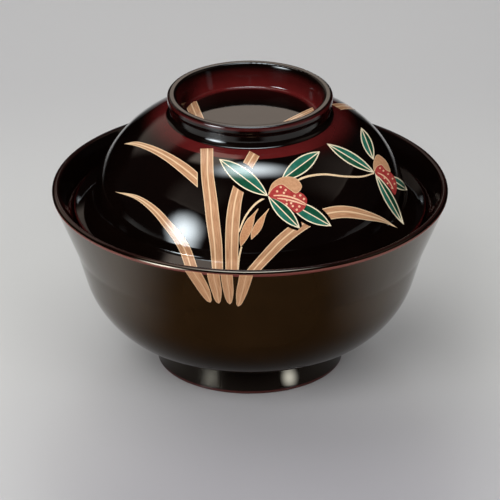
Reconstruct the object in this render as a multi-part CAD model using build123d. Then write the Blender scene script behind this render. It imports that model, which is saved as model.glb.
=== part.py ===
from build123d import *
import os
from math import cos, radians, sin, tan

# A lacquered wooden soup bowl with a loose lid, in millimetres. Everything is turned about Z, the foot
# stands on the plane Z = 0 and the painted side faces -Y. Corner sizes are given where two straight
# runs of a section would meet before the corner is rounded.

# Bowl
rim_diameter = 124.0
bowl_height = 58.3
lip_thickness = 2.0
bowl_wall = 2.4
flare = 7.3
flare_height = 18.9
waist_round = 11.0
belly_diameter = 93.6
belly_height = 12.6
belly_round = 29.8
seat_inset = 9.55
seat_drop = 10.34
seat_round = 16.4
foot_diameter = 58.4
foot_neck_diameter = 56.8
foot_height = 8.4
foot_neck_round = 1.4
foot_wall = 3.6
foot_edge_round = 0.8
foot_recess = 5.6
recess_draft = 0.9
recess_round = 2.0
base_thickness = 4.6
floor_round = 60.0

# Lid, with its heights counted from its edge
lid_inset = 6.9
lid_edge = 1.8
lid_wall = 2.4
lid_clearance = 0.3
brim_width = 6.2
brim_rise = 3.3
brim_round = 1.2
shoulder_diameter = 88.6
shoulder_rise = 24.4
dome_round = 33.2
dome_inner_round = 28.0
crown_rise = 31.2
crown_thickness = 2.6

# Ring on the lid
ring_diameter = 51.6
ring_height = 6.7
ring_groove = 1.0
ring_foot_round = 2.2
bead_height = 2.3
bead_width = 2.6
bead_round = 0.85
well_diameter = 42.6
well_depth = 7.4
well_round = 0.9

# Lacquer
coat = 0.5
sole_height = 1.4
edge_fullness = 0.96
leg_share = 0.98

# Painted orchids
relief = 0.15
blade_width = 4.2
stem_width = 0.7
bud_width = 2.6
front_flower_width = 34.2
side_flower_width = 25.5
motif_gap = 1.1
smallest_motif = 0.3
easel_tilt = 25.6
easel_depth = 8.0


# Sections: runs of (spot, rounding), with radius and height as the spot, walked with the wood on the left

def inset(run, depth):
    """The run moved into the wood by a depth, with its roundings kept concentric."""
    spots = [spot for spot, _ in run]
    legs = [(b - a).normalized() for a, b in zip(spots, spots[1:])]
    sides = [Vector(-leg.Y, leg.X) for leg in legs]
    moved = [(spots[0] + sides[0] * depth, 0)]
    for i in range(1, len(run) - 1):
        before, after = sides[i - 1], sides[i]
        spot = spots[i] + (before + after) * (depth / (1 + before.dot(after)))
        turns_left = legs[i - 1].cross(legs[i]).Z > 0
        moved.append((spot, run[i][1] - depth if turns_left else run[i][1] + depth))
    moved.append((spots[-1] + sides[-1] * depth, 0))
    return moved


def fitted(run):
    """The run with each rounding limited to what its two legs hold."""
    spots = [spot for spot, _ in run]
    legs = [b - a for a, b in zip(spots, spots[1:])]
    bends = [tan(radians(a.get_angle(b)) / 2) for a, b in zip(legs, legs[1:])]
    wanted = [rounding for _, rounding in run[1:-1]]
    reach = [0, *[rounding * bend for rounding, bend in zip(wanted, bends)], 0]
    held = [leg.length * leg_share for leg in legs]
    room = [hold / max(a + b, hold) for hold, a, b in zip(held, reach, reach[1:])]
    radii = [rounding * min(a, b) for rounding, a, b in zip(wanted, room, room[1:])]
    return list(zip(spots, [0, *radii, 0]))


def rounded(run):
    """The run as one wire of straight legs and arcs."""
    return FilletPolyline(*[spot for spot, _ in run], radius=[radius for _, radius in fitted(run)[1:-1]])


def section(*wires):
    """A face of the turning plane inside wires that meet end to end."""
    return Plane.XZ * make_face([edge for wire in wires for edge in wire.edges()])


def turned(*runs):
    """A solid turned from runs that leave the axis and follow one another back to it."""
    axis_line = Line(runs[-1][-1][0], runs[0][0][0])
    return revolve(section(*[rounded(run) for run in runs], axis_line), Axis.Z)


def layer(run, depth):
    """A skin turned between a run and the same run moved into the wood by a depth."""
    moved = inset(run, depth)
    caps = [Line(run[end][0], moved[end][0]) for end in (0, -1)]
    return revolve(section(rounded(run), rounded(moved), *caps), Axis.Z)


def edge_corners(centre, wall_spot, thickness):
    """Tip, left corner and right corner of an edge that points away from a spot in the wall."""
    along = (centre - wall_spot).normalized() * (thickness / 2)
    across = Vector(-along.Y, along.X)
    tip = centre + along
    return tip, tip + across, tip - across


def inset_corner(before, corner, after, depth):
    """Where the two legs of a corner meet once both are moved into the wood."""
    return inset([(before, 0), (corner, 0), (after, 0)], depth)[1][0]


def spot_at_height(a, b, height):
    """The spot where the line through two spots reaches a height."""
    return a + (b - a) * ((height - a.Y) / (b.Y - a.Y))


# Bowl

rim_radius = rim_diameter / 2
foot_radius = foot_diameter / 2
lip_centre = Vector(rim_radius - lip_thickness / 2, bowl_height - lip_thickness / 2)
waist = Vector(rim_radius - flare, bowl_height - flare_height)
seat = Vector(rim_radius - seat_inset, bowl_height - seat_drop)
belly = Vector(belly_diameter / 2, belly_height)
foot_neck = Vector(foot_neck_diameter / 2, foot_height)
foot_out = Vector(foot_radius, 0)
foot_in = Vector(foot_radius - foot_wall, 0)
recess_edge = Vector(foot_in.X - recess_draft, foot_recess)
sole_top = spot_at_height(foot_out, foot_neck, sole_height)
lip_tip, lip_in, lip_out = edge_corners(lip_centre, waist - Vector(bowl_wall / 2, 0), lip_thickness)
lip_round = edge_fullness * lip_thickness / 2
belly_in = inset_corner(foot_neck, belly, waist, bowl_wall)
neck_in = inset_corner(foot_out, foot_neck, belly, bowl_wall)
floor_height = foot_recess + base_thickness
floor_edge = spot_at_height(neck_in, belly_in, floor_height)

bowl_under = fitted([
    (Vector(0, foot_recess), 0),
    (recess_edge, recess_round),
    (foot_in, foot_edge_round),
    (foot_out, foot_edge_round),
    (sole_top, 0),
])
bowl_outside = fitted([
    (sole_top, 0),
    (foot_neck, foot_neck_round),
    (belly, belly_round),
    (waist, waist_round),
    (lip_out, lip_round),
    (lip_tip, 0),
])
bowl_inside = fitted([
    (lip_tip, 0),
    (lip_in, lip_round),
    (seat, seat_round),
    (belly_in, belly_round - bowl_wall),
    (floor_edge, floor_round),
    (Vector(0, floor_height), 0),
])

bowl_core = turned(inset(bowl_under, coat), inset(bowl_outside, coat), inset(bowl_inside, coat))
bowl_outer_coat = layer(bowl_outside, coat)
bowl_inner_coat = layer(bowl_inside, coat)
bowl_sole_coat = layer(bowl_under, coat)


# Lid: its edge rests on the slope inside the bowl's lip

slope = (lip_in - seat).normalized()
slope_side = Vector(-slope.Y, slope.X)
edge_radius = rim_radius - lid_inset - lid_edge / 2
edge_reach = (edge_radius - lip_in.X) * slope_side.X
edge_height = lip_in.Y + (lid_edge / 2 + lid_clearance - edge_reach) / slope_side.Y
lid_centre = Vector(edge_radius, edge_height)
brim = Vector(rim_radius - lid_inset - brim_width, edge_height + brim_rise)
shoulder = Vector(shoulder_diameter / 2, edge_height + shoulder_rise)
crown_height = edge_height + crown_rise
lid_top = crown_height + ring_height
lid_tip, lid_out, lid_in = edge_corners(lid_centre, brim - Vector(0, lid_wall / 2), lid_edge)
lid_round = edge_fullness * lid_edge / 2
brim_in = inset_corner(lid_out, brim, shoulder, lid_wall)
shoulder_in = inset_corner(brim, shoulder, Vector(0, crown_height), lid_wall)
well_floor = lid_top - well_depth
ceiling = well_floor - crown_thickness
ceiling_edge = spot_at_height(brim_in, shoulder_in, ceiling)

bead_radius = ring_diameter / 2
bead_foot = lid_top - bead_height
ring_radius = bead_radius - ring_groove
ring_foot = Vector(ring_radius, crown_height)
well_edge = Vector(well_diameter / 2, well_floor)

lid_inside = fitted([
    (Vector(0, ceiling), 0),
    (ceiling_edge, dome_inner_round),
    (brim_in, brim_round + lid_wall),
    (lid_in, lid_round),
    (lid_tip, 0),
])
lid_outside = fitted([
    (lid_tip, 0),
    (lid_out, lid_round),
    (brim, brim_round),
    (shoulder, dome_round),
    (ring_foot, ring_foot_round),
    (Vector(ring_radius, bead_foot - ring_groove), ring_groove),
    (Vector(bead_radius, bead_foot), bead_round),
    (Vector(bead_radius, lid_top), bead_round),
    (Vector(bead_radius - bead_width, lid_top), bead_round),
    (well_edge, well_round),
    (Vector(0, well_floor), 0),
])

lid_core = turned(inset(lid_inside, coat), inset(lid_outside, coat))
lid_outer_coat = layer(lid_outside, coat)
lid_inner_coat = layer(lid_inside, coat)


# Orchids, painted in low relief. Their outlines are drawn on an easel that leans back as the eye looks
# down on the bowl, and are cast from there onto the turned surface. A spot is given by its azimuth from
# the front and by how far down the surface it lies, in percent. Widths are in percent of the widest blade.

lean = radians(easel_tilt)
easel = Plane(origin=(0, 0, 0), x_dir=(1, 0, 0), z_dir=(0, -cos(lean), sin(lean)))
cast_length = rim_diameter

dome_run = [(lid_out, 0), *lid_outside[2:4], (ring_foot, 0)]
dome_line = rounded(dome_run[::-1])
dome_skin = layer(dome_run, -relief)
easel_cut = Plane.XZ.offset(-easel_depth)
dome_front = split(dome_skin, bisect_by=easel_cut, keep=Keep.TOP)
flank_run = [(foot_neck, 0), *bowl_outside[2:4], (lip_out, 0)]
flank_line = rounded(flank_run[::-1])
flank_front = split(layer(flank_run, -relief), bisect_by=easel_cut, keep=Keep.TOP)


def surface_spot(line, azimuth, down):
    """A spot on a turned surface."""
    spot = line @ (down / 100)
    turn = radians(azimuth)
    return Vector(spot.X * sin(turn), -spot.X * cos(turn), spot.Y)


def easel_spot(line, azimuth, down):
    """A spot on a turned surface as the easel shows it."""
    seen = easel.to_local_coords(surface_spot(line, azimuth, down))
    return Vector(seen.X, seen.Y)


def ribbon(spots, widths):
    """A strip along a smooth middle line, with its width at each spot; a width of 0 is a point."""
    middle = Spline(*spots)
    shares = [middle.param_at_point(spot) for spot in spots]
    sides = [(middle % share).rotate(Axis.Z, 90) for share in shares]
    left = [spot + side * (width / 2) for spot, side, width in zip(spots, sides, widths)]
    right = [spot - side * (width / 2) for spot, side, width in zip(spots, sides, widths)]
    edges = [Spline(*left), Spline(*right)]
    edges += [Line(left[end], right[end]) for end in (0, -1) if widths[end] > 0]
    return make_face(edges)


def blade(line, stations, margin=0):
    """A leaf blade through stations of azimuth, way down and width, with a margin on both sides."""
    spots = [easel_spot(line, azimuth, down) for azimuth, down, _ in stations]
    return ribbon(spots, [width / 100 * blade_width + 2 * margin for _, _, width in stations])


def lens(base, tip, width, margin=0):
    """A pointed leaf between two arcs, with a margin all round."""
    along = (tip - base).normalized()
    side = along.rotate(Axis.Z, 90) * (width / 2 + margin)
    middle = (base + tip) / 2
    ends = base - along * margin, tip + along * margin
    return make_face([ThreePointArc(ends[0], middle + sign * side, ends[1]) for sign in (1, -1)])


def flower_spot(centre, size, offset):
    """A spot of a flower, from its offset in percent of the flower's size."""
    return centre + Vector(*offset) * (size / 100)


def sepals(centre, size, leaves, margin=0):
    """The pointed leaves of a flower, from base, tip and width in percent of its size."""
    made = []
    for base, tip, width in leaves:
        ends = flower_spot(centre, size, base), flower_spot(centre, size, tip)
        made.append(lens(*ends, width * size / 100, margin))
    return made


def patch(centre, size, offsets):
    """A rounded patch of a flower through offsets from its centre."""
    return make_face(Spline(*[flower_spot(centre, size, offset) for offset in offsets], periodic=True))


def behind(face, *fronts):
    """What still shows of a motif behind others."""
    for front in fronts:
        face = face - front
    return Sketch([part for part in face.faces() if part.area > smallest_motif])


def cast(faces, skin):
    """Thin solids where outlines on the easel meet a skin, on the side that faces the easel."""
    solids = []
    for face in faces:
        beam = extrude(easel * face, amount=cast_length)
        solids += (beam & skin).solids()
    return Compound(solids)


# Leaf blades on the lid
left_high_blade = blade(dome_line, [
    (-20, 37, 81), (-35, 26.6, 81), (-49, 23, 61.9), (-64.5, 24.5, 45.2), (-75, 29.5, 33.3),
    (-84, 37.5, 0)])
left_low_blade = blade(dome_line, [
    (-19.5, 95, 85.7), (-25, 79, 83.3), (-33, 67, 66.7), (-41.5, 59.5, 52.4), (-50.5, 57.3, 33.3),
    (-65.5, 63, 0)])
tall_stations = [
    (-10.7, 95, 78.6), (-12.6, 75, 90.5), (-14.4, 59.5, 97.6), (-17, 44.5, 97.6), (-21.6, 26.3, 92.9),
    (-29.2, 6.6, 92.9)]
tall_blade = blade(dome_line, tall_stations)
middle_blade = blade(dome_line, [
    (-6, 95, 90.5), (-6.8, 68, 97.6), (-6.7, 56.5, 100), (-6.2, 44.5, 92.9), (-4.8, 33, 85.7),
    (-1.9, 19.6, 81), (2.9, 6.9, 83.3)])
arching_blade = blade(dome_line, [
    (0.2, 95, 76.2), (5.2, 83, 83.3), (13.5, 69.3, 90.5), (25, 60, 90.5), (38, 60.4, 90.5),
    (51.5, 71.2, 61.9), (58.5, 79, 33.3), (63.5, 90, 0)])

# Flower on the front of the dome
front_flower = easel_spot(dome_line, 7.8, 40.8)
front_leaves = [
    ((0, 0), (-43.6, 33), 15.5),
    ((12, 14.3), (46.2, 40.1), 14),
    ((0, 0), (28.4, -28.7), 11.4),
    ((17.5, -4.7), (56.4, -26.6), 13.2)]
front_sepals = sepals(front_flower, front_flower_width, front_leaves)
front_petal = patch(front_flower, front_flower_width, [
    (0.3, 0.6), (3.5, 10.8), (14.9, 17.3), (26, 15.2), (30.4, 8.2), (25.4, 2.3), (18.7, 6.1), (12, 10.2),
    (4.7, 6.7)])
front_lip = patch(front_flower, front_flower_width, [
    (0.9, -0.3), (4.1, 6.4), (12, 10.5), (22.5, 3.5), (29.5, 2.9), (34.8, -2.6), (33, -10.5), (26, -15.2),
    (17, -8.8), (7.9, -3.5)])

# Flower on the right of the dome
side_flower = easel_spot(dome_line, 65.3, 48)
side_sepals = sepals(side_flower, side_flower_width, [
    ((0, 0), (-58, 34.9), 13.3),
    ((-1.2, 16.1), (-15.7, 55.7), 11.8),
    ((0, 0), (36.1, -63.1), 11.4),
    ((15.3, -3.9), (42, -20), 11.8)])
side_petal = patch(side_flower, side_flower_width, [
    (-0.4, 1.2), (-1.6, 13.7), (3.5, 22.4), (11.4, 18), (18, 7.5), (19.2, 1.6), (13.7, 3.9), (7.8, 9.8),
    (2, 6.7)])
side_lip = patch(side_flower, side_flower_width, [
    (0.4, 0), (2, 7.1), (6.7, 10.6), (12.9, 5.5), (20.4, 0.4), (26.3, -8.6), (27.5, -16.5), (24.7, -26.3),
    (17.6, -17.3), (8.2, -7.5)])

# Stems and buds

def stem(places):
    """A stem of even width through places of azimuth and way down the dome."""
    return ribbon([easel_spot(dome_line, *place) for place in places], [stem_width] * len(places))


flower_stem = stem([(7.8, 40.8), (2.2, 46), (-2, 55), (-4.4, 66)])
bud_stem = stem([(-3.4, 75.6), (-4.2, 83), (-4.3, 91)])
side_stem = stem([(20, 33.5), (35.9, 32), (48.3, 39.6), (57, 45), (65.3, 48)])
low_bud = lens(easel_spot(dome_line, -3, 75), easel_spot(dome_line, 3.4, 48.8), bud_width)
high_bud = lens(easel_spot(dome_line, 0.4, 70.4), easel_spot(dome_line, 7.9, 49.1), bud_width)

# What lies in front hides what lies behind, with a dark line left beside the blades
sepal_margins = sepals(front_flower, front_flower_width, front_leaves, motif_gap)
left_high_blade = behind(left_high_blade, blade(dome_line, tall_stations, motif_gap))
middle_blade = behind(middle_blade, sepal_margins[0])
arching_blade = behind(arching_blade, *sepal_margins[2:])
front_sepals = [
    behind(front_sepals[0], front_petal, front_lip),
    behind(front_sepals[1], front_petal),
    behind(front_sepals[2], front_sepals[0], front_lip),
    behind(front_sepals[3], front_sepals[2], front_lip)]
side_sepals = [
    behind(side_sepals[0], side_petal, side_lip),
    behind(side_sepals[1], side_petal),
    behind(side_sepals[2], side_sepals[0], side_lip),
    behind(side_sepals[3], side_petal, side_lip)]
front_lip = behind(front_lip, front_petal)
side_lip = behind(side_lip, side_petal)
front_parts = [*front_sepals, front_petal, front_lip]
side_parts = [*side_sepals, side_petal, side_lip]
flower_stem = behind(flower_stem, middle_blade, *front_parts)
bud_stem = behind(bud_stem, middle_blade, low_bud)
side_stem = behind(side_stem, *front_parts, *side_parts)

lid_gold_blades = cast(
    [left_high_blade, left_low_blade, tall_blade, middle_blade, arching_blade], dome_front)
lid_gold_stems = cast([flower_stem, bud_stem, side_stem], dome_front)
lid_gold_buds = cast([low_bud, high_bud], dome_front)
lid_green_sepals = cast([*front_sepals, *side_sepals], dome_front)
lid_tan_petals = cast([front_petal, side_petal], dome_front)
lid_red_lips = cast([front_lip, side_lip], dome_front)

# Blades on the bowl, where the lid's own run out over the rim
bowl_gold_blades = cast([
    blade(flank_line, [(-17, 2.3, 88.1), (-14.5, 7.7, 78.6), (-13, 14.4, 45.2), (-12.1, 21.7, 0)]),
    blade(flank_line, [(-10.9, 2.3, 76.2), (-10.3, 7.7, 76.2), (-9.8, 13.9, 52.4), (-9.7, 22.2, 0)]),
    blade(flank_line, [(-7.1, 2.3, 71.4), (-6.7, 7.7, 71.4), (-6.3, 13.9, 47.6), (-6.4, 22.6, 0)]),
    blade(flank_line, [(-0.9, 2.3, 85.7), (-1.7, 7.8, 76.2), (-2.8, 13.9, 47.6), (-4, 23.1, 0)]),
], flank_front)

# Blades that cross the well and come out behind the ring, drawn in plan by place and width

def plan_blade(stations):
    """A leaf blade seen from above, through stations of x and y in percent of the ring, and width."""
    spots = [Vector(x, y) * (bead_radius / 100) for x, y, _ in stations]
    return ribbon(spots, [width / 100 * blade_width for _, _, width in stations])


well_disc = Circle(well_edge.X - well_round - relief)
left_well_blade = plan_blade([(-51.2, -60.5, 90.5), (-58.9, -31, 92), (-65.1, 0, 94), (-72.4, 39, 97)])
right_well_blade = plan_blade([
    (22, -75, 62), (40.7, -27, 57), (59.7, -1.7, 55), (80, 20.5, 55)])
back_blade = plan_blade([
    (103.1, 25.6, 85.7), (108.9, 34.9, 85.7), (117.8, 51.9, 81), (124, 77.5, 57.1), (124, 104.7, 0)])
well_outlines = [well_disc & left_well_blade, well_disc & right_well_blade]
well_faces = [face for outline in well_outlines for face in outline.faces()]
ring_well_blades = Compound([
    extrude(Pos(Z=well_floor) * face, amount=relief).solid() for face in well_faces])
back_beam = extrude(Pos(Z=edge_height) * back_blade, amount=cast_length)
lid_back_blade = Compound((back_beam & dome_skin).solids())


# One file per piece

pieces = {
    "bowl_core": bowl_core,
    "bowl_outer_coat": bowl_outer_coat,
    "bowl_inner_coat": bowl_inner_coat,
    "bowl_sole_coat": bowl_sole_coat,
    "bowl_gold_blades": bowl_gold_blades,
    "lid_core": lid_core,
    "lid_outer_coat": lid_outer_coat,
    "lid_inner_coat": lid_inner_coat,
    "lid_gold_blades": lid_gold_blades,
    "lid_back_blade": lid_back_blade,
    "ring_well_blades": ring_well_blades,
    "lid_gold_stems": lid_gold_stems,
    "lid_gold_buds": lid_gold_buds,
    "lid_green_sepals": lid_green_sepals,
    "lid_tan_petals": lid_tan_petals,
    "lid_red_lips": lid_red_lips,
}
os.makedirs("parts", exist_ok=True)
for name, piece in pieces.items():
    export_step(piece, f"parts/{name}.step")
print("lid edge height", round(edge_height, 2), "overall height", round(lid_top, 2))
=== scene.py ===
import math

import bpy
from mathutils import Matrix, Vector
from mathutils.bvhtree import BVHTree
from mathutils.geometry import barycentric_transform, delaunay_2d_cdt, interpolate_bezier


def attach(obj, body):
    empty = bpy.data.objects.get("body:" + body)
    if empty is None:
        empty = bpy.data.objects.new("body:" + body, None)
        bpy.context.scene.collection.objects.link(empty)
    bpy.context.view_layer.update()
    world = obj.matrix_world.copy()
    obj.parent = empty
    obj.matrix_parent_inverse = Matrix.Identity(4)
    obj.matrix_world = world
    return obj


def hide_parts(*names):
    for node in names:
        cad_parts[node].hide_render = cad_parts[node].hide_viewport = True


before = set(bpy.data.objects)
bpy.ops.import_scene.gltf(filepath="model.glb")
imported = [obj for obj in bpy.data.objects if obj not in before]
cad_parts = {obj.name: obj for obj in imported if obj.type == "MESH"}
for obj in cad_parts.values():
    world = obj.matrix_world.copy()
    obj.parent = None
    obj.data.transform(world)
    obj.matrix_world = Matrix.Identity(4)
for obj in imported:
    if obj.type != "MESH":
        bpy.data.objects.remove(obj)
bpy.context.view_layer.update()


# Turned cores of the bowl and the lid. Each is cut on the lathe from one block of hardwood and sealed
# with a dark primer. They carry every coat of lacquer and no longer show once the ware is finished.

class Shade:
    """A socket in a finish. Sums and products of shades add their nodes, and add() makes any other."""

    def __init__(self, tree, socket=None):
        self.tree = tree
        self.socket = socket

    def feed(self, node, links):
        for name, value in links.items():
            if isinstance(value, Shade):
                self.tree.links.new(value.socket, node.inputs[name])
            else:
                node.inputs[name].default_value = value

    def add(self, kind, settings, links, out=0):
        node = self.tree.nodes.new("ShaderNode" + kind)
        for name, value in settings.items():
            setattr(node, name, value)
        self.feed(node, links)
        return Shade(self.tree, node.outputs[out])

    def math(self, operation, *terms):
        return self.add("Math", {"operation": operation}, dict(enumerate(terms)))

    def __add__(self, other):
        return self.math("ADD", self, other)

    def __sub__(self, other):
        return self.math("SUBTRACT", self, other)

    def __rsub__(self, other):
        return self.math("SUBTRACT", other, self)

    def __mul__(self, other):
        return self.math("MULTIPLY", self, other)

    def __truediv__(self, other):
        return self.math("DIVIDE", self, other)

    def __pow__(self, other):
        return self.math("POWER", self, other)

    def __abs__(self):
        return self.math("ABSOLUTE", self)

    __radd__ = __add__
    __rmul__ = __mul__

    def rise(self, low, high):
        """0 below low and 1 above high, or the other way round where low is the greater."""
        smooth = {"interpolation_type": "SMOOTHSTEP"}
        return self.add("MapRange", smooth, {"Value": self, "From Min": low, "From Max": high})

    def between(self, low, high, soft):
        """1 from low to high and 0 outside them, with soft ends."""
        return self.rise(low - soft, low + soft) * self.rise(high + soft, high - soft)

    def blend(self, start, end):
        """The colour start where this shade is 0, and end where it is 1."""
        return self.add("Mix", {"data_type": "RGBA"}, {0: self, 6: start, 7: end}, 2)

    def noise(self, scale, detail, stretch=(1, 1, 1)):
        """Cloudy noise over this place."""
        place = self.add("VectorMath", {"operation": "MULTIPLY"}, {0: self, 1: stretch})
        return self.add("TexNoise", {}, {"Vector": place, "Scale": scale, "Detail": detail})


def new_finish(name):
    """A new material with the piece's own resting place in it, as a vector and as x, y, z and radius."""
    material = bpy.data.materials.new(name)
    material.use_nodes = True
    start = Shade(material.node_tree)
    place = start.add("TexCoord", {}, {}, "Object")
    x, y, z = (place.add("SeparateXYZ", {}, {0: place}, axis) for axis in "XYZ")
    return material, place, (x, y, z, (x * x + y * y) ** 0.5)


def lay_on(place, links):
    """Feeds a finish's surface shader."""
    place.feed(place.tree.nodes["Principled BSDF"], links)


def dress(node, material):
    """Gives a CAD node one finish."""
    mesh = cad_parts[node].data
    mesh.materials.clear()
    mesh.materials.append(material)


HEART_ASIDE = 0.09
RING_DENSITY = 900
ALONG_THE_GRAIN = (1, 0.06, 1)
WOOD_LIGHT = (0.016, 0.008, 0.005, 1)
WOOD_DARK = (0.008, 0.004, 0.0025, 1)
WOOD_PORE = (0.004, 0.002, 0.0015, 1)

sealed_wood, place, (x, _, z, _) = new_finish("sealed_hardwood")
from_heart = ((x - HEART_ASIDE) ** 2 + (z * 0.25) ** 2) ** 0.5 + place.noise(18, 3) * 0.006
growth = from_heart * RING_DENSITY
year_ring = growth.math("SINE", growth) * 0.5 + 0.5
pore = place.noise(900, 4, ALONG_THE_GRAIN).rise(0.58, 0.7)
lay_on(place, {
    "Base Color": (pore * 0.6).blend(year_ring.blend(WOOD_LIGHT, WOOD_DARK), WOOD_PORE),
    "Roughness": 0.5 + year_ring * 0.1})
dress("bowl_core", sealed_wood)
dress("lid_core", sealed_wood)


# Lacquer of the bowl. Translucent brown-black lacquer lies over red, polished to a full gloss, and wears
# thin along the edges, so the red shows as a line on the outer edge of the lip and round the foot.

BLACK_BROWN = (0.0024, 0.001, 0.0007, 1)
WARM_BROWN = (0.02, 0.0098, 0.0036, 1)
RED = (0.15, 0.0135, 0.0135, 1)
LIP_RED = (0.15, 0.04, 0.034, 1)
NEUTRAL_GLEAM = (1, 1, 1, 1)
WARM_GLEAM = (1, 0.86, 0.68, 1)
LACQUER_IOR = 1.5
LACQUER_SHINE = 0.4
WARM_SHINE = 0.65

# Heights and radii on the bowl, in metres.
FOOT_NECK, MID_FLANK = 0.0088, 0.03
RED_LINE_FOOT, RED_LINE_TOP = 0.0567, 0.0576
LIP_SHOULDER, LIP_TOP = 0.0578, 0.0582
FOOT_EDGE_HEIGHT = 0.0014, 0.0008
FOOT_EDGE_RADIUS = 0.0278, 0.0286


def lacquer(name, dark, red, red_parts, black_parts=None, gleam=NEUTRAL_GLEAM, shine=LACQUER_SHINE):
    """Polished dark lacquer. red_parts gives where the red shows, and black_parts where it is darkest."""
    material, place, where = new_finish(name)
    depth = place.noise(70, 3).rise(0.3, 0.75)
    ground = depth.blend(dark, [1.35 * part for part in dark[:3]] + [1])
    if black_parts:
        ground = black_parts(*where).blend(ground, BLACK_BROWN)
    worn = place.noise(420, 2) * 0.3 + 0.85
    shows = red_parts(*where) * worn
    shows = shows.math("MINIMUM", shows, 1.0)
    smudge = place.noise(55, 4).rise(0.45, 0.8)
    orange_peel = place.noise(160, 1)
    relief = place.add("Bump", {}, {"Strength": 0.02, "Distance": 0.001, "Height": orange_peel})
    lay_on(place, {
        "Base Color": shows.blend(ground, red),
        "Roughness": 0.05 + smudge * 0.03,
        "IOR": LACQUER_IOR,
        "Specular IOR Level": shine,
        "Specular Tint": gleam,
        "Normal": relief})
    return material


bowl_outside = lacquer(
    "bowl_outside_lacquer", WARM_BROWN, LIP_RED,
    lambda x, y, z, r: z.between(RED_LINE_FOOT, RED_LINE_TOP, 0.0001),
    # Darkest towards the foot, from the middle of the flank down to the neck of the foot, and in a band
    # above the red line.
    lambda x, y, z, r: z.rise(MID_FLANK, FOOT_NECK) + z.rise(RED_LINE_TOP, LIP_SHOULDER),
    WARM_GLEAM, WARM_SHINE)
bowl_inside = lacquer(
    "bowl_inside_lacquer", BLACK_BROWN, LIP_RED,
    lambda x, y, z, r: z.rise(LIP_SHOULDER, LIP_TOP) * 0.1)
bowl_sole = lacquer(
    "bowl_sole_lacquer", BLACK_BROWN, LIP_RED,
    lambda x, y, z, r: z.rise(*FOOT_EDGE_HEIGHT) * r.rise(*FOOT_EDGE_RADIUS) * 0.4)
dress("bowl_outer_coat", bowl_outside)
dress("bowl_inner_coat", bowl_inside)
dress("bowl_sole_coat", bowl_sole)


# The edge of the lip. The coats of the outside and the inside meet there, and their joint is rubbed down
# and polished to one smooth black edge all round.

MM = 0.001
LIP_CENTRE = Vector((0.061, 0, 0.0573))
EDGE_SPOTS, FIRST_ANGLE, ANGLE_STEP = 19, 27, 7
CLEAR_OF_LIP = 0.003
POLISH_LIFT = 0.05 * MM
TURNS = 288


def ground_of(node):
    """What a painting lies on: the node's mesh with a search tree."""
    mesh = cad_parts[node].data
    mesh.calc_loop_triangles()
    corners = [vertex.co.copy() for vertex in mesh.vertices]
    normals = [normal.vector.copy() for normal in mesh.corner_normals]
    triangles = [(tuple(t.vertices), tuple(t.loops)) for t in mesh.loop_triangles]
    tree = BVHTree.FromPolygons(corners, [spots for spots, _ in triangles])
    return tree, corners, normals, triangles


def grid_faces(rows, row, closed=False):
    """Faces of a grid of rows with row spots in each. A closed grid joins its last row to its first."""
    return [
        (i * row + j, (i + 1) % rows * row + j, (i + 1) % rows * row + j + 1, i * row + j + 1)
        for i in range(rows if closed else rows - 1) for j in range(row - 1)]


def smooth_mesh(name, corners, faces):
    mesh = bpy.data.meshes.new(name)
    mesh.from_pydata(corners, [], faces)
    mesh.polygons.foreach_set("use_smooth", [True] * len(faces))
    return mesh


def add_object(name, data):
    thing = bpy.data.objects.new(name, data)
    bpy.context.scene.collection.objects.link(thing)
    return thing


coats = [ground_of(node)[0] for node in ("bowl_outer_coat", "bowl_inner_coat")]
edge_line = []
for i in range(EDGE_SPOTS):
    angle = math.radians(FIRST_ANGLE + ANGLE_STEP * i)
    outward = Vector((math.cos(angle), 0, math.sin(angle)))
    met = [coat.ray_cast(LIP_CENTRE + outward * CLEAR_OF_LIP, -outward)[0] for coat in coats]
    outermost = max((spot for spot in met if spot), key=lambda spot: (spot - LIP_CENTRE).length)
    edge_line.append(outermost + outward * POLISH_LIFT)
edge_mesh = smooth_mesh(
    "lip_edge",
    [Matrix.Rotation(2 * math.pi * i / TURNS, 3, "Z") @ spot for i in range(TURNS) for spot in edge_line],
    grid_faces(TURNS, EDGE_SPOTS, closed=True))
edge_mesh.materials.append(lacquer(
    "lip_edge_lacquer", BLACK_BROWN, LIP_RED,
    lambda x, y, z, r: z.rise(LIP_SHOULDER + 0.0001, LIP_TOP) * 0.06))
lip_edge = add_object("lip_edge", edge_mesh)
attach(lip_edge, "bowl")


# Lacquer of the lid, laid and polished as on the bowl. The red shows at the foot of the ring, where the
# dark lacquer was rubbed away in a band at the front, on the ring's bead and its inner wall, and round the
# lid's edge. On the left and right sides the red at the foot of the ring spreads as a broad glow fading
# outwards: painted light, as if the sides were lit through the lacquer.

# Where each part of the red sets in and where it is full, in metres.
DOME_TOP, BELOW_RING, OUTSIDE_RING = (0.0775, 0.0785), (0.0839, 0.0834), (0.026, 0.0263)
RUBBED_BAND, PAINTED_SIDE_LIGHT = (0.0302, 0.0297), (0.0355, 0.0262)
BEAD_HEIGHTS, BEAD_RADIUS = (0.0889, 0.0899), (0.025, 0.0256)
WALL_OUT, WALL_IN, WALL_LEFT = (0.0235, 0.0229), (0.019, 0.0206), (-0.022, -0.014)
WALL_HIGH, WALL_LOW = (0.0895, 0.0865), (0.087, 0.083)
LID_EDGE, LID_EDGE_INSIDE = (0.0546, 0.0551), (0.0545, 0.055)
TOWARD_FRONT = (-0.55, -0.9)


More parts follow.
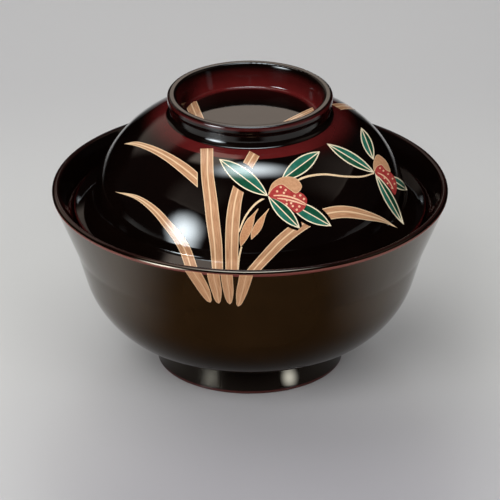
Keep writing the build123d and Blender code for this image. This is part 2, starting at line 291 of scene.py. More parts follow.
def lid_red(x, y, z, r):
    dome = z.rise(*DOME_TOP) * z.rise(*BELOW_RING) * r.rise(*OUTSIDE_RING)
    front = (y / r).rise(*TOWARD_FRONT)
    rubbed = r.rise(*RUBBED_BAND) * front * 0.7
    # Painted light: on the left and right sides the red spreads outwards and fades, as if lit from the
    # side.
    glow = (r.rise(*PAINTED_SIDE_LIGHT) ** 1.5) * (1 - front) * 0.55
    bead = z.between(*BEAD_HEIGHTS, 0.0003) * r.rise(*BEAD_RADIUS) * 0.3
    wall = r.rise(*WALL_OUT) * r.rise(*WALL_IN) * x.rise(*WALL_LEFT)
    inner_wall = wall * (z.rise(*WALL_HIGH) * 0.3 + z.rise(*WALL_LOW) * 0.35)
    return dome * (rubbed + glow) + bead + inner_wall + r.rise(*LID_EDGE) * 0.5


lid_outside = lacquer("lid_outside_lacquer", BLACK_BROWN, RED, lid_red)
lid_inside = lacquer(
    "lid_inside_lacquer", BLACK_BROWN, RED, lambda x, y, z, r: r.rise(*LID_EDGE_INSIDE) * 0.5)
dress("lid_outer_coat", lid_outside)
dress("lid_inner_coat", lid_inside)


# Leaf blades of the orchids on the lid. They are painted in lacquer and dusted with gold, then closed
# under clear lacquer: tan gold with fibres along the leaf, a pale vein and pale edges.

# The ornament is drawn in millimetres on an easel that leans back by this angle, as the camera sees it.
EASEL_TILT = math.radians(25.6)
TOWARD = Vector((0, -math.cos(EASEL_TILT), math.sin(EASEL_TILT)))
UPWARD = Vector((0, math.sin(EASEL_TILT), math.cos(EASEL_TILT)))
EASEL_DISTANCE = 0.3

# Lifts of paint over its ground, in millimetres. What passes in front lies higher.
BLADE_LIFT = 0.05
TALL_BLADE_LIFT = 0.07

TAN_GOLD = (0.43, 0.21, 0.105, 1)
LIGHT_TAN_GOLD = (0.6, 0.325, 0.175, 1)
GOLD_DUST = (0.8, 0.52, 0.3, 1)
PALE_GOLD = (0.86, 0.62, 0.38, 1)

# Where a line of the brush fades and where it is full, in millimetres from its middle or the edge.
VEIN_LINE = 0.3, 0.12
EDGE_LINE = 0.34, 0.16
PAINT_ENDS = -0.02, 0.02
LEAST_WIDTH = 0.02


def onto(ground, right, up, from_above=False):
    """Where a spot drawn on the easel, or on a plan, meets the ground, and the ground's normal there."""
    tree, corners, normals, triangles = ground
    ahead, lift = (Vector((0, 0, 1)), Vector((0, 1, 0))) if from_above else (TOWARD, UPWARD)
    start = Vector((right * MM, 0, 0)) + lift * (up * MM) + ahead * EASEL_DISTANCE
    spot, _, index, _ = tree.ray_cast(start, -ahead)
    if spot is None:
        spot, _, index, _ = tree.find_nearest(start - ahead * EASEL_DISTANCE)
    spots, loops = triangles[index]
    ends = [corners[i] for i in spots]
    normal = barycentric_transform(spot, *ends, *[normals[i] for i in loops])
    return spot, normal.normalized()


def smooth_line(stations, steps):
    """Stations of right, up and width joined by a smooth line, as a list of such triples."""
    knots = [Vector(station) for station in stations]
    spans = [max((b - a).to_2d().length, 0.001) for a, b in zip(knots, knots[1:])]
    slopes = [(b - a) / span for a, b, span in zip(knots, knots[1:], spans)]
    tangents = [slopes[0]]
    for before, after, slope_in, slope_out in zip(spans, spans[1:], slopes, slopes[1:]):
        tangents.append((slope_in * after + slope_out * before) / (before + after))
    tangents.append(slopes[-1])
    line = []
    for i, span in enumerate(spans):
        handles = knots[i] + tangents[i] * (span / 3), knots[i + 1] - tangents[i + 1] * (span / 3)
        line += interpolate_bezier(knots[i], *handles, knots[i + 1], steps + 1)[:-1]
    return line + [knots[-1]]


def paint_skin(name, ground, drawn, faces, notes, material, lift, from_above=False):
    """A skin of paint. drawn holds spots on the easel, notes two pairs of numbers for each spot."""
    placed = [onto(ground, right, up, from_above) for right, up in drawn]
    mesh = smooth_mesh(name, [spot + normal * (lift * MM) for spot, normal in placed], faces)
    for layer, pick in (("stroke", 0), ("edge", 1)):
        sheet = mesh.uv_layers.new(name=layer)
        for loop in mesh.loops:
            sheet.data[loop.index].uv = notes[loop.vertex_index][pick]
    mesh.normals_split_custom_set_from_vertices([normal for _, normal in placed])
    mesh.materials.append(material)
    return add_object(name, mesh)


def blade(
        name, ground, stations, material, lift,
        from_above=False, columns=10, reserve=0, steps=10, trim=None):
    """A leaf blade along stations of right, up and width in millimetres, with a dark reserve beside it.
    trim moves a spot that would pass the end of the ground back to its edge."""
    line = smooth_line([(right, up, width + 2 * reserve) for right, up, width in stations], steps)
    drawn, notes, along = [], [], 0
    for i, spot in enumerate(line):
        ahead = line[min(i + 1, len(line) - 1)].to_2d() - line[max(i - 1, 0)].to_2d()
        side = Vector((-ahead.y, ahead.x)).normalized()
        along += (spot - line[i - 1]).to_2d().length if i else 0
        half = max(spot.z, LEAST_WIDTH) / 2
        for column in range(columns + 1):
            across = 2 * column / columns - 1
            right, up = spot.to_2d() + side * (half * across)
            drawn.append(trim(right, up) if trim else (right, up))
            notes.append(((along, across), ((1 - abs(across)) * half - reserve, half)))
    faces = grid_faces(len(line), columns + 1)
    return paint_skin(name, ground, drawn, faces, notes, material, lift, from_above)


def stroke_of(place):
    """Way along in millimetres, share across from -1 to 1, way in from the edge and half the width."""
    halves = []
    for layer in ("stroke", "edge"):
        sheet = place.add("UVMap", {"uv_map": layer}, {})
        halves += [sheet.add("SeparateXYZ", {}, {0: sheet}, axis) for axis in "XY"]
    return halves


def lay_paint(place, colour, roughness):
    """Feeds a finish of paint under clear lacquer."""
    lay_on(place, {
        "Base Color": colour,
        "Roughness": roughness,
        "IOR": LACQUER_IOR,
        "Specular IOR Level": LACQUER_SHINE})


def gold_leaf(name, vein, cut=None, drawing=1):
    """Tan gold with fibres, pale edges and a vein at a share across, at the start and after a length.
    Right of a cut, the dark ground is left. drawing is how far the pale lines stand out."""
    material, place, (x, *_) = new_finish(name)
    along, across, inward, half = stroke_of(place)
    if cut is not None:
        inward = inward.math("MINIMUM", inward, (cut - x) * 1000)
    grid = place.add("CombineXYZ", {}, {0: along * 0.05, 1: across * half, 2: 0.0})
    fibre = grid.noise(5.5, 3)
    powder = place.noise(5200, 2)
    fill = fibre.rise(0.36, 0.66).blend(TAN_GOLD, LIGHT_TAN_GOLD)
    fill = (powder.rise(0.5, 0.75) * 0.22).blend(fill, GOLD_DUST)
    start, end, length = vein
    off_vein = abs(across - (start + along * ((end - start) / length))) * half
    vein_line = off_vein.rise(*VEIN_LINE) * 0.9
    edge_line = inward.rise(*EDGE_LINE) * 0.85
    lines = vein_line.math("MAXIMUM", vein_line, edge_line) * drawing
    painted = lines.blend(fill, PALE_GOLD)
    lay_paint(place, inward.rise(*PAINT_ENDS).blend(BLACK_BROWN, painted), 0.07 + powder * 0.04)
    return material


def settle(pieces, body, replaced=None):
    """Puts painted pieces on their body, and hides the CAD node they take the place of."""
    for piece in pieces:
        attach(piece, body)
    if replaced:
        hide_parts(replaced)


dome = ground_of("lid_outer_coat")
blade_gold = gold_leaf("blade_gold", (0.05, 0.05, 40))
cut_gold = gold_leaf("cut_blade_gold", (-0.05, 0.05, 40), cut=-0.0161)
tall_gold = gold_leaf("tall_blade_gold", (0.35, -0.15, 40))
settle([
    blade("left_high_blade", dome, [
        (-13.4, 51.7, 3.4), (-20.4, 57.8, 3.4), (-25.9, 61.6, 2.6), (-31.5, 64.4, 1.9), (-35.4, 65.6, 1.4),
        (-39.2, 65.7, 0)], cut_gold, BLADE_LIFT),
    blade("left_low_blade", dome, [
        (-17.8, 26.7, 3.6), (-20.4, 33.7, 3.5), (-25.4, 40.5, 2.8), (-30, 45.5, 2.2), (-34.6, 48.7, 1.4),
        (-41.8, 50.7, 0)], blade_gold, BLADE_LIFT),
    blade("tall_blade", dome, [
        (-9.9, 25.8, 3.3), (-10.4, 34.1, 3.8), (-11.3, 41.2, 4.1), (-12.1, 48.2, 4.1), (-13.1, 56.2, 3.9),
        (-13.3, 63.9, 3.9)], tall_gold, TALL_BLADE_LIFT),
    blade("middle_blade", dome, [
        (-5.6, 25.5, 3.8), (-5.5, 36.9, 4.1), (-5.2, 42.1, 4.2), (-4.5, 47.5, 3.9), (-3.2, 52.4, 3.6),
        (-1.1, 57.8, 3.4), (1.4, 62.3, 3.5)], blade_gold, BLADE_LIFT),
    blade("arching_blade", dome, [
        (0.2, 25.4, 3.2), (4.4, 30.1, 3.5), (11, 36.7, 3.8), (19.2, 42.2, 3.8), (28, 44.4, 3.8),
        (37.1, 43, 2.6), (41.2, 41.8, 1.4), (45.8, 39.4, 0)], blade_gold, BLADE_LIFT)],
    "lid", "lid_gold_blades")


# Blades on the bowl, in the same gold. They carry the blades of the lid on over the lip, cross its red
# edge and run out in points on the side of the bowl.

LIP_RADIUS, LIP_HEIGHT = 61.9, 57.3
TIP_LIFT = 0.06


def under_lip(right, up):
    """Keeps a spot on the easel below the lip's outer edge."""
    behind = math.sqrt(LIP_RADIUS ** 2 - right ** 2)
    return right, min(up, LIP_HEIGHT * math.cos(EASEL_TILT) - behind * math.sin(EASEL_TILT))


flank = ground_of("bowl_outer_coat")
tip_gold = gold_leaf("blade_tip_gold", (0.0, 0.1, 10), drawing=0.4)
bowl_blades = [
    [(-18.9, 28.4, 3.9), (-15.4, 22.9, 3.7), (-13.6, 19.7, 3), (-12.7, 17.8, 1.9), (-12.3, 17, 1.1),
     (-12.2, 16.6, 0.1)],
    [(-11.7, 28.2, 3.7), (-10.8, 23, 3.6), (-10.1, 19.6, 2.9), (-9.8, 17.5, 1.9), (-9.6, 16.7, 1.1),
     (-9.5, 16.3, 0.1)],
    [(-7.4, 28.1, 3.7), (-6.9, 22.8, 3.5), (-6.5, 19.4, 2.9), (-6.3, 17.3, 1.9), (-6.2, 16.5, 1.1),
     (-6.2, 16.1, 0.1)],
    [(-0.4, 28.1, 4.2), (-1.8, 22.5, 3.8), (-2.8, 18.8, 3), (-3.3, 16.7, 1.9), (-3.6, 15.8, 1.1),
     (-3.7, 15.4, 0.1)]]
settle([
    blade(f"bowl_blade_{i + 1}", flank, stations, tip_gold, TIP_LIFT, steps=40, trim=under_lip)
    for i, stations in enumerate(bowl_blades)], "bowl", "bowl_gold_blades")


# Blades that cross the well inside the ring and come out behind it. The painter drew two leaves straight
# over the ring, so their gold lies on the well's floor and goes on over the back of the dome.

FLOOR_RADIUS = 20.3


def in_well(x, y):
    """Keeps a spot on the plan inside the flat of the well's floor."""
    return tuple(Vector((x, y)) * min(1, FLOOR_RADIUS / math.hypot(x, y)))


well_gold = gold_leaf("well_blade_gold", (0.1, 0.0, 20))
settle([
    blade(name, dome, stations, well_gold, BLADE_LIFT, from_above=True, steps=20, trim=in_well)
    for name, stations in (
        ("left_well_blade", [(-13.2, -15.6, 3.8), (-15.2, -8, 3.9), (-16.8, 0, 3.9), (-18.7, 10, 4.1)]),
        ("right_well_blade", [(5.7, -19.4, 2.6), (10.5, -7, 2.4), (15.4, -0.5, 2.3), (20.6, 5.3, 2.3)]))],
    "lid", "ring_well_blades")
settle([
    blade("back_blade", dome, [
        (26.8, 6.8, 3.6), (28.1, 9, 3.6), (30.4, 13.4, 3.4), (32, 20, 2.4), (32, 27, 0)],
        blade_gold, BLADE_LIFT, from_above=True)],
    "lid", "lid_back_blade")


# Stems and buds. A stem is one stroke of a thin brush in pale gold. The two buds are tan drops with a
# pale edge, and each ends in a hair-thin tip.

STEM_LIFT = 0.04
BUD_LIFT = 0.06
THIN = 4
BUD_EDGE = 0.24, 0.08

stem_gold, place, _ = new_finish("stem_gold")
speck = place.noise(2600, 2)
stem_colour = speck.rise(0.4, 0.7).blend((0.78, 0.55, 0.33, 1), (0.9, 0.72, 0.48, 1))
lay_paint(place, stem_colour, 0.07 + speck * 0.05)
settle([
    blade(name, dome, stations, stem_gold, STEM_LIFT, columns=THIN)
    for name, stations in (
        ("flower_stem", [(5.2, 49.1, 0.6), (1.6, 46.7, 0.6), (-1.5, 42.7, 0.55), (-3.4, 38.2, 0.5)]),
        ("bud_stem", [(-2.6, 33.6, 0.5), (-3.4, 30, 0.6), (-3.8, 26.4, 0.6)]),
        ("side_stem", [
            (13, 53.2, 0.5), (16.5, 54.9, 0.6), (22, 55.9, 0.6), (29.9, 55.3, 0.55), (34.9, 55.4, 0.5),
            (38.4, 56.4, 0.4)]))],
    "lid", "lid_gold_stems")

bud_gold, place, _ = new_finish("bud_gold")
_, _, inward, _ = stroke_of(place)
grain = place.noise(2400, 3)
bud_fill = grain.rise(0.35, 0.7).blend((0.5, 0.235, 0.115, 1), (0.6, 0.31, 0.16, 1))
bud_colour = (inward.rise(*BUD_EDGE) * 0.75).blend(bud_fill, (0.82, 0.57, 0.34, 1))
lay_paint(place, bud_colour, 0.07 + grain * 0.04)
settle([
    blade("low_bud", dome, [
        (-2.8, 33.7, 0.2), (-2.3, 35.6, 1.9), (-1.1, 38.6, 2.9), (0.2, 41.6, 2.2), (1.2, 43.4, 0.9),
        (2.5, 45.3, 0.2)], bud_gold, BUD_LIFT),
    blade("high_bud", dome, [
        (0.4, 35.9, 0.2), (1.1, 37.5, 1.7), (2.4, 39.7, 2.4), (3.5, 41.7, 1.8), (4.5, 43.4, 0.8),
        (5.8, 45.3, 0.2)], bud_gold, BUD_LIFT)],
    "lid", "lid_gold_buds")


# Sepals of the two flowers: green lacquer inside a cream-gold outline, with a midrib of the same cream, and
# painted light and shade: each sepal is a lighter green on one side of the midrib and a darker green on the
# other. Where a sepal passes in front of a blade, a thin reserve of the dark ground keeps them apart.

FRONT_FLOWER = (5.5, 49.2)
SIDE_FLOWER = (38.6, 56.5)
LOW_SEPAL, SEPAL, HIGH_SEPAL = 0.07, 0.09, 0.11
RESERVE_1, RESERVE_3, RESERVE_4 = 0.065, 0.063, 0.061
LEAF_STEPS = 12
# Painted light and painted shade: the greens of the sepal's half in light and of its half in shade.
PAINTED_LIGHT_GREENS = (0.016, 0.125, 0.08, 1), (0.028, 0.17, 0.12, 1)
PAINTED_SHADE_GREENS = (0.006, 0.058, 0.028, 1), (0.011, 0.09, 0.048, 1)
CREAM = (0.9, 0.78, 0.55, 1)
MIDRIB = 0.21, 0.1
OUTLINE = 0.42, 0.3


def leaf_stations(base, tip, width):
    """Stations of a pointed leaf between two arcs, from base to tip."""
    start, end = Vector(base), Vector(tip)
    sag, reach = width / 2, (end - start).length / 2
    bow = (reach * reach + sag * sag) / (2 * sag)
    stations = []
    for i in range(LEAF_STEPS + 1):
        share = 0.5 - 0.5 * math.cos(math.pi * i / LEAF_STEPS)
        off = reach * (2 * share - 1)
        half = math.sqrt(max(bow * bow - off * off, 0)) - bow + sag
        stations.append((*start.lerp(end, share), max(2 * half, 0)))
    return stations


def sepal_green(name, lit_side):
    """Green lacquer with painted light on one side of the midrib and painted shade on the other, as a half
    in light and a half in shade.
    """
    material, place, _ = new_finish(name)
    _, across, inward, half = stroke_of(place)
    brush = place.noise(700, 3).rise(0.3, 0.75)
    # Painted light and shade: one half of the sepal takes the greens in light, the other the greens in
    # shade.
    painted_lit_green, painted_shade_green = brush.blend(*PAINTED_LIGHT_GREENS), brush.blend(*PAINTED_SHADE_GREENS)
    green = across.rise(-0.2 * lit_side, 0.2 * lit_side).blend(painted_shade_green, painted_lit_green)
    midrib = (abs(across) * half).rise(*MIDRIB)
    drawn = midrib.math("MAXIMUM", midrib, inward.rise(*OUTLINE))
    painted = drawn.blend(green, CREAM)
    lay_paint(place, inward.rise(*PAINT_ENDS).blend(BLACK_BROWN, painted), 0.06 + brush * 0.03)
    return material


def sepal(name, centre, leaf, material, lift, reserve=0):
    """One sepal. leaf is its base and tip, as places beside the flower's centre, and its width."""
    base, tip, width = leaf
    ends = [(centre[0] + spot[0], centre[1] + spot[1]) for spot in (base, tip)]
    return blade(
        name, dome, leaf_stations(*ends, width), material, lift, reserve=reserve, steps=2, columns=14)


# Two copies of the green, with painted light on the upper half in one and on the lower half in the other.
upper_painted_light = sepal_green("sepal_green_upper_lit", 1)
lower_painted_light = sepal_green("sepal_green_lower_lit", -1)
leaf_1 = (0, 0), (-15, 11.4), 5.5
leaf_2 = (4.1, 4.9), (16, 13.8), 5.0
leaf_3 = (0, 0), (9.8, -9.9), 4.1
leaf_4 = (6, -1.6), (19.5, -9.2), 4.7
settle([
    sepal("front_sepal_4", FRONT_FLOWER, leaf_4, lower_painted_light, SEPAL),
    sepal("front_sepal_3", FRONT_FLOWER, leaf_3, lower_painted_light, HIGH_SEPAL),
    sepal("front_sepal_1", FRONT_FLOWER, leaf_1, lower_painted_light, HIGH_SEPAL),
    sepal("front_sepal_2", FRONT_FLOWER, leaf_2, upper_painted_light, SEPAL),
    sepal("side_sepal_1", SIDE_FLOWER, ((0, 0), (-14.9, 9), 3.7), lower_painted_light, SEPAL),
    sepal("side_sepal_2", SIDE_FLOWER, ((-0.3, 4.1), (-4, 14.3), 3.3), upper_painted_light, LOW_SEPAL),
    sepal("side_sepal_3", SIDE_FLOWER, ((0, 0), (9.2, -16.1), 3.2), lower_painted_light, SEPAL),
    sepal("side_sepal_4", SIDE_FLOWER, ((3.9, -1), (10.7, -5.1), 3.2), upper_painted_light, LOW_SEPAL),
    sepal("sepal_1_reserve", FRONT_FLOWER, leaf_1, lid_outside, RESERVE_1, 1.1),
    sepal("sepal_3_reserve", FRONT_FLOWER, leaf_3, lid_outside, RESERVE_3, 1.0),
    sepal("sepal_4_reserve", FRONT_FLOWER, leaf_4, lid_outside, RESERVE_4, 1.1)],
    "lid", "lid_green_sepals")


# Petals and lips of the flowers. The petal is a tan comma that curls over the lip, and the lip is red
# lacquer with two peach ribs and a scatter of cream dots set with the tip of the brush.

LIP_LIFT, PETAL_LIFT, MARK_LIFT = 0.13, 0.15, 0.16
PETAL_EDGE = 0.3, 0.1
PATCH_GRID = 0.35
OUTLINE_STEPS = 10
DOT_CORNERS = 6
FRONT_DOT, SIDE_DOT = 0.36, 0.3


def closed_line(spots, steps):
    """A smooth closed outline through spots."""
    ring = [(*spot, 0) for spot in [*spots[-2:], *spots, *spots[:3]]]
    return [spot.to_2d() for spot in smooth_line(ring, steps)][2 * steps:-2 * steps - 1]


def patch(name, centre, spots, material, lift):
    """A patch of paint inside a smooth outline, given by spots beside the flower's centre."""
    outline = closed_line([(centre[0] + right, centre[1] + up) for right, up in spots], OUTLINE_STEPS)
    low = Vector((min(spot.x for spot in outline), min(spot.y for spot in outline)))
    high = Vector((max(spot.x for spot in outline), max(spot.y for spot in outline)))
    grid = [
        low + Vector((i, j)) * PATCH_GRID
        for i in range(int((high.x - low.x) / PATCH_GRID) + 1)
        for j in range(int((high.y - low.y) / PATCH_GRID) + 1)]
    rim = [(i, (i + 1) % len(outline)) for i in range(len(outline))]
    drawn, _, faces, _, _, _ = delaunay_2d_cdt([*outline, *grid], rim, [], 1, 0.0001)
    used = sorted({i for face in faces for i in face})
    index = {old: new for new, old in enumerate(used)}
    drawn = [drawn[i] for i in used]
    faces = [tuple(index[i] for i in face) for face in faces]
    notes = []
    for spot in drawn:
        inward = min((spot - end).length for end in outline)
        notes.append(((spot.x - centre[0], spot.y - centre[1]), (inward, 1)))
    return paint_skin(name, dome, [tuple(spot) for spot in drawn], faces, notes, material, lift)


petal_tan, place, _ = new_finish("petal_tan")
_, _, inward, _ = stroke_of(place)
dust = place.noise(1500, 3)
petal_fill = dust.rise(0.3, 0.75).blend((0.52, 0.265, 0.14, 1), (0.62, 0.34, 0.185, 1))
petal_colour = (inward.rise(*PETAL_EDGE) * 0.55).blend(petal_fill, (0.85, 0.6, 0.36, 1))
lay_paint(place, petal_colour, 0.07 + dust * 0.04)
settle([
    patch("front_petal", FRONT_FLOWER, [
        (0.1, 0.2), (1.2, 3.7), (5.1, 5.9), (8.9, 5.2), (10.4, 2.8), (8.7, 0.8), (6.4, 2.1), (4.1, 3.5),
        (1.6, 2.3)], petal_tan, PETAL_LIFT),
    patch("side_petal", SIDE_FLOWER, [
        (-0.1, 0.3), (-0.4, 3.5), (0.9, 5.7), (2.9, 4.6), (4.6, 1.9), (4.9, 0.4), (3.5, 1), (2, 2.5),
        (0.5, 1.7)], petal_tan, PETAL_LIFT)],
    "lid", "lid_tan_petals")

lip_red, place, _ = new_finish("lip_red")
wash = place.noise(900, 3)
lip_colour = wash.rise(0.3, 0.75).blend((0.36, 0.036, 0.034, 1), (0.5, 0.07, 0.062, 1))
lay_paint(place, lip_colour, 0.06 + wash * 0.04)
settle([
    patch("front_lip", FRONT_FLOWER, [
        (0.3, -0.1), (1.4, 2.2), (4.1, 3.6), (7.7, 1.2), (10.1, 1), (11.9, -0.9), (11.3, -3.6), (8.9, -5.2),
        (5.8, -3), (2.7, -1.2)], lip_red, LIP_LIFT),
    patch("side_lip", SIDE_FLOWER, [
        (0.1, 0), (0.5, 1.8), (1.7, 2.7), (3.3, 1.4), (5.2, 0.1), (6.7, -2.2), (7, -4.2), (6.3, -6.7),
        (4.5, -4.4), (2.1, -1.9)], lip_red, LIP_LIFT)],
    "lid", "lid_red_lips")

lip_peach, place, _ = new_finish("lip_peach")
touch = place.noise(1800, 2)
peach_colour = touch.rise(0.3, 0.7).blend((0.8, 0.42, 0.26, 1), (0.9, 0.6, 0.4, 1))
lay_paint(place, peach_colour, 0.07 + touch * 0.04)


def dot(name, spot, size):
    """One dot from the tip of the brush."""
    turns = [2 * math.pi * i / DOT_CORNERS for i in range(DOT_CORNERS)]
    circle = [(spot[0] + size * math.cos(turn), spot[1] + size * math.sin(turn)) for turn in turns]
    return patch(name, (0, 0), circle, lip_peach, MARK_LIFT)


ribs = [
    blade(name, dome, stations, lip_peach, MARK_LIFT, columns=THIN)
    for name, stations in (
        ("front_rib_1", [
            (7.2, 49.3, 0.3), (10, 49.3, 0.5), (12.8, 48.7, 0.5), (15.6, 47.6, 0.45), (17.4, 46.5, 0.2)]),
        ("front_rib_2", [(8.4, 48.5, 0.3), (11.2, 48.1, 0.5), (14, 47.4, 0.5), (17, 46.4, 0.2)]),
        ("side_rib_1", [(39.4, 56.6, 0.2), (41.2, 55.7, 0.4), (43, 54, 0.4), (44.4, 51.6, 0.2)]))]
front_dots = [
    (9.4, 51.9), (10.9, 51), (8.3, 50.6), (10.4, 50.1), (13.6, 49.2), (15.4, 49.4), (16.5, 48.3),
    (11.3, 47.9), (12.6, 47), (11.2, 46.7), (13.1, 46.1), (15.1, 46), (14.3, 45)]
side_dots = [
    (40.2, 58), (41.3, 57.2), (42.8, 56.2), (44.2, 54.8), (41.6, 54.9), (42.6, 53.3), (44.8, 53.2),
    (44, 51.9)]
marks = ribs + [dot(f"front_dot_{i + 1}", spot, FRONT_DOT) for i, spot in enumerate(front_dots)]
marks += [dot(f"side_dot_{i + 1}", spot, SIDE_DOT) for i, spot in enumerate(side_dots)]
settle(marks, "lid")


# The studio floor: a sheet of pale grey paper, with painted shadow in its colour: a little darker ahead of
# the bowl and at its right front, where the bowl's shadow falls, and darker towards the back. It takes a
# faint shine, so the lamps glance off it on to the foot.

FLOOR_REACH = 3
PAINTED_SHADE_PAPER = (0.42, 0.41, 0.43, 1)
PALE_PAPER = (0.76, 0.76, 0.735, 1)
PAINTED_SHADE_AHEAD = 0.13


def square(name, half):
    """A flat square mesh that reaches half to each side."""
    mesh = bpy.data.meshes.new(name)
    corners = [(-half, -half, 0), (half, -half, 0), (half, half, 0), (-half, half, 0)]
    mesh.from_pydata(corners, [], [(0, 1, 2, 3)])
    return mesh


floor = add_object("floor_sheet", square("floor_sheet", FLOOR_REACH))
paper, place, (x, y, _, _) = new_finish("grey_paper")
# Painted shadow: darker round a spot ahead of the bowl and at its right front, where the bowl's shadow
# falls; darker towards the back as well.
off_painted_shade = (x ** 2 * 1.6 + (y + PAINTED_SHADE_AHEAD) ** 2 * 0.45) ** 0.5
painted_shadow_right_front = x.rise(0, 0.08) * y.rise(0, -0.08) * 0.25
pale = off_painted_shade.rise(0.02, 0.17) * (y.rise(0.22, 0.06) * 0.42 + 0.58) - painted_shadow_right_front
lay_on(place, {
    "Base Color": pale.blend(PAINTED_SHADE_PAPER, PALE_PAPER),
    "Roughness": 0.36,
    "Specular IOR Level": 0.2})
floor.data.materials.append(paper)


# Lamps and cards of the studio: three soft lamps light the ware, and softboxes, dim panels and black flags
# stand round it for the gloss alone, as a photographer sets them for polished lacquer. Some cards paint
# light and shade into the gloss: black sheets on the floor ahead of the bowl, over the lid's brim and in
# the ring's well paint dark reflections, and two small glowing cards by the foot paint highlights on it.

COOL = (0.86, 0.95, 1, 1)
WARM = (1, 0.84, 0.72, 1)
BLACK = (0, 0, 0, 1)
DOWN = Vector((0, 0, -1))
EYE_LEVEL = Vector((0, 0, 0.06))
ON_FLOOR = 0.0004
ON_BRIM = 0.0577


def toward(azimuth, elevation, distance):
    """A place in the studio, seen from the object. Azimuth turns to the right from the front."""
    a, e = math.radians(azimuth), math.radians(elevation)
    return Vector((math.sin(a) * math.cos(e), -math.cos(a) * math.cos(e), math.sin(e))) * distance


def lamp(name, azimuth, elevation, distance, size, power):
    """A soft lamp that lights without being mirrored."""
    data = bpy.data.lights.new(name, "AREA")
    data.shape = "DISK"
    data.size = size
    data.energy = power
    light = add_object(name, data)
    light.location = toward(azimuth, elevation, distance)
    light.rotation_euler = light.location.to_track_quat("Z", "Y").to_euler()
    light.visible_glossy = False


def card(name, place, facing, wide, high, shown, glow, strength):
    """A sheet that shows only in the gloss, and only from the side away from where it faces. shown gives
    how much of it, over the sheet."""
    mesh = square(name, 1)
    sheet = add_object(name, mesh)
    sheet.location = place
    sheet.rotation_euler = facing.to_track_quat("Z", "Y").to_euler()
    sheet.scale = (wide / 2, high / 2, 1)
    finish, spot, (x, y, _, radius) = new_finish(name + "_face")
    from_inside = spot.add("NewGeometry", {}, {}, "Backfacing")
    lay_on(spot, {
        "Base Color": BLACK,
        "Roughness": 1.0,
        "Specular IOR Level": 0.0,
        "Alpha": shown(x, y, radius) * from_inside,
        "Emission Color": glow,
        "Emission Strength": strength})
    mesh.materials.append(finish)
    for way in ("camera", "diffuse", "shadow", "transmission"):
        setattr(sheet, "visible_" + way, False)


def round_fade(x, y, radius):
    return radius.rise(1, 0)


def sharp_foot(x, y, radius):
    return abs(x).rise(1, 0.3) * (y.rise(1, -0.9) * 0.7 + y.rise(-0.8, -1) * 0.3) * y.rise(-1, -0.98)


def soft_sheet(x, y, radius):
    return abs(x).rise(1, 0.5) * abs(y).rise(1, 0.6)


def brim_ring(x, y, radius):
    """A ring over the brim, open at its left front."""
    window = x.between(-0.48, -0.17, 0.05) * y.rise(0, -0.1)
    return radius.between(0.795, 0.925, 0.004) * (1 - window)


def softbox(name, azimuth, elevation, distance, wide, high, shown, glow, strength):
    """A card that glows, at a place in the studio and turned to the object."""
    spot = toward(azimuth, elevation, distance)
    card(name, spot + EYE_LEVEL, spot, wide, high, shown, glow, strength)


def flag(name, place, facing, wide, high, shown=soft_sheet):
    """A black card, which keeps the gloss dark."""
    card(name, Vector(place), facing, wide, high, shown, BLACK, 0.0)


lamp("main_lamp", -30, 36, 1.5, 1.2, 12)
lamp("fill_lamp", 35, 30, 1.6, 1.2, 7.5)
lamp("back_lamp", -125, 62, 1.5, 1.2, 5)
softbox("top_softbox", 0, 89, 1.2, 1.1, 0.52, round_fade, COOL, 24)
softbox("front_softbox", -49, 11, 1.2, 0.76, 1.0, round_fade, COOL, 36)
softbox("back_softbox", 180, 38, 1.4, 0.26, 0.4, round_fade, COOL, 9)
softbox("left_panel", -56, 55, 1.4, 1.2, 1.1, sharp_foot, WARM, 0.6)
softbox("left_back_panel", -136, 68, 1.4, 0.6, 0.5, soft_sheet, WARM, 2.4)
softbox("left_veil", -150, 33, 1.4, 1.05, 0.85, soft_sheet, WARM, 0.5)
softbox("right_panel", 98, 52, 1.4, 1.5, 1.0, sharp_foot, WARM, 0.5)
softbox("back_panel", 180, 24, 1.6, 0.2, 0.24, soft_sheet, WARM, 1.3)
# Painted shade: a black sheet on the floor ahead of the bowl, seen only in the gloss, darkens the
# reflections in the bowl's lower side.
flag("front_painted_shade_flag", (0, -0.17, ON_FLOOR), DOWN, 0.17, 0.36)
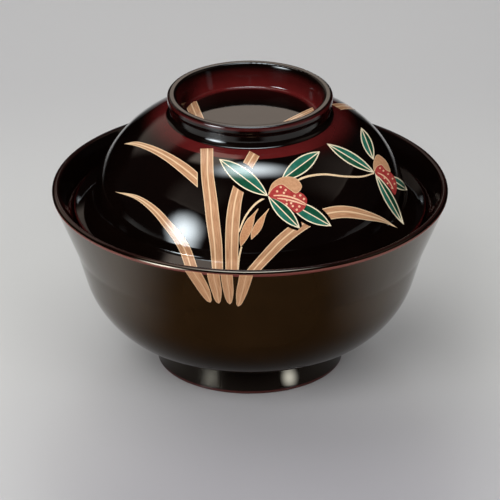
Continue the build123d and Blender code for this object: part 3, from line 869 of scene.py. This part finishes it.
# Painted shade: a black ring hovering just over the lid's brim, seen only in the gloss, darkens the brim's
# reflections and takes away the highlight along its fold.
flag("brim_painted_shade_flag", (0, 0, ON_BRIM), -DOWN, 0.12, 0.12, brim_ring)
# Painted shade: a small black card in the ring's well, seen only in the gloss, takes away a highlight on
# the well's inner wall.
flag("well_painted_shade_flag", (0.0068, 0.0178, 0.088), toward(-46, 0, 1), 0.014, 0.0042)
for side, name, strength in ((-1, "left", 2.5), (1, "right", 10)):
    flag(name + "_floor_flag", (0.2 * side, 0.15, ON_FLOOR), DOWN, 0.22, 0.24)
    flag(name + "_back_flag", (0.19 * side, 0.24, 0.08), toward(142 * side, 0, 1), 0.34, 0.2)
    sideways = toward(116 * side, 0, 1)
    flag(name + "_side_flag", sideways * 0.3 + Vector((0, 0, 0.02)), sideways, 0.34, 0.14)
    # Painted highlights: two small glowing cards beside the foot, seen only in the gloss, put highlights on
    # the foot's sides.
    card(
        name + "_foot_painted_highlight", Vector((0.0158 * side, -0.0291, 0.003)), toward(51 * side, 0, 1),
        0.009, 0.009, round_fade, COOL, strength)


# The studio's dim surround. It lights every side softly, and shows almost black in the gloss, so that
# the lacquer mirrors the cards and little else.

SURROUND = (0.38, 0.38, 0.39, 1)
SURROUND_IN_GLOSS = (0.012, 0.012, 0.013, 1)

world = bpy.data.worlds.new("studio")
world.use_nodes = True
bpy.context.scene.world = world
sky = Shade(world.node_tree)
glossy = sky.add("LightPath", {}, {}, "Is Glossy Ray")
sky.feed(world.node_tree.nodes["Background"], {
    "Color": glossy.blend(SURROUND, SURROUND_IN_GLOSS),
    "Strength": 1.0})


# The camera. It looks down on the ware from the front, at the photograph's angle, and stands far off
# with a long lens, so the ellipses of the rim and the ring keep their measured shapes.

AIM = Vector((0, 0, 0.0362))
CAMERA_DISTANCE = 2.183

camera = add_object("camera", bpy.data.cameras.new("camera"))
camera.data.lens = 500
camera.data.sensor_width = 36
camera.location = AIM + TOWARD * CAMERA_DISTANCE
camera.rotation_euler = TOWARD.to_track_quat("Z", "Y").to_euler()
bpy.context.scene.camera = camera
bpy.context.scene.view_settings.view_transform = "Standard"
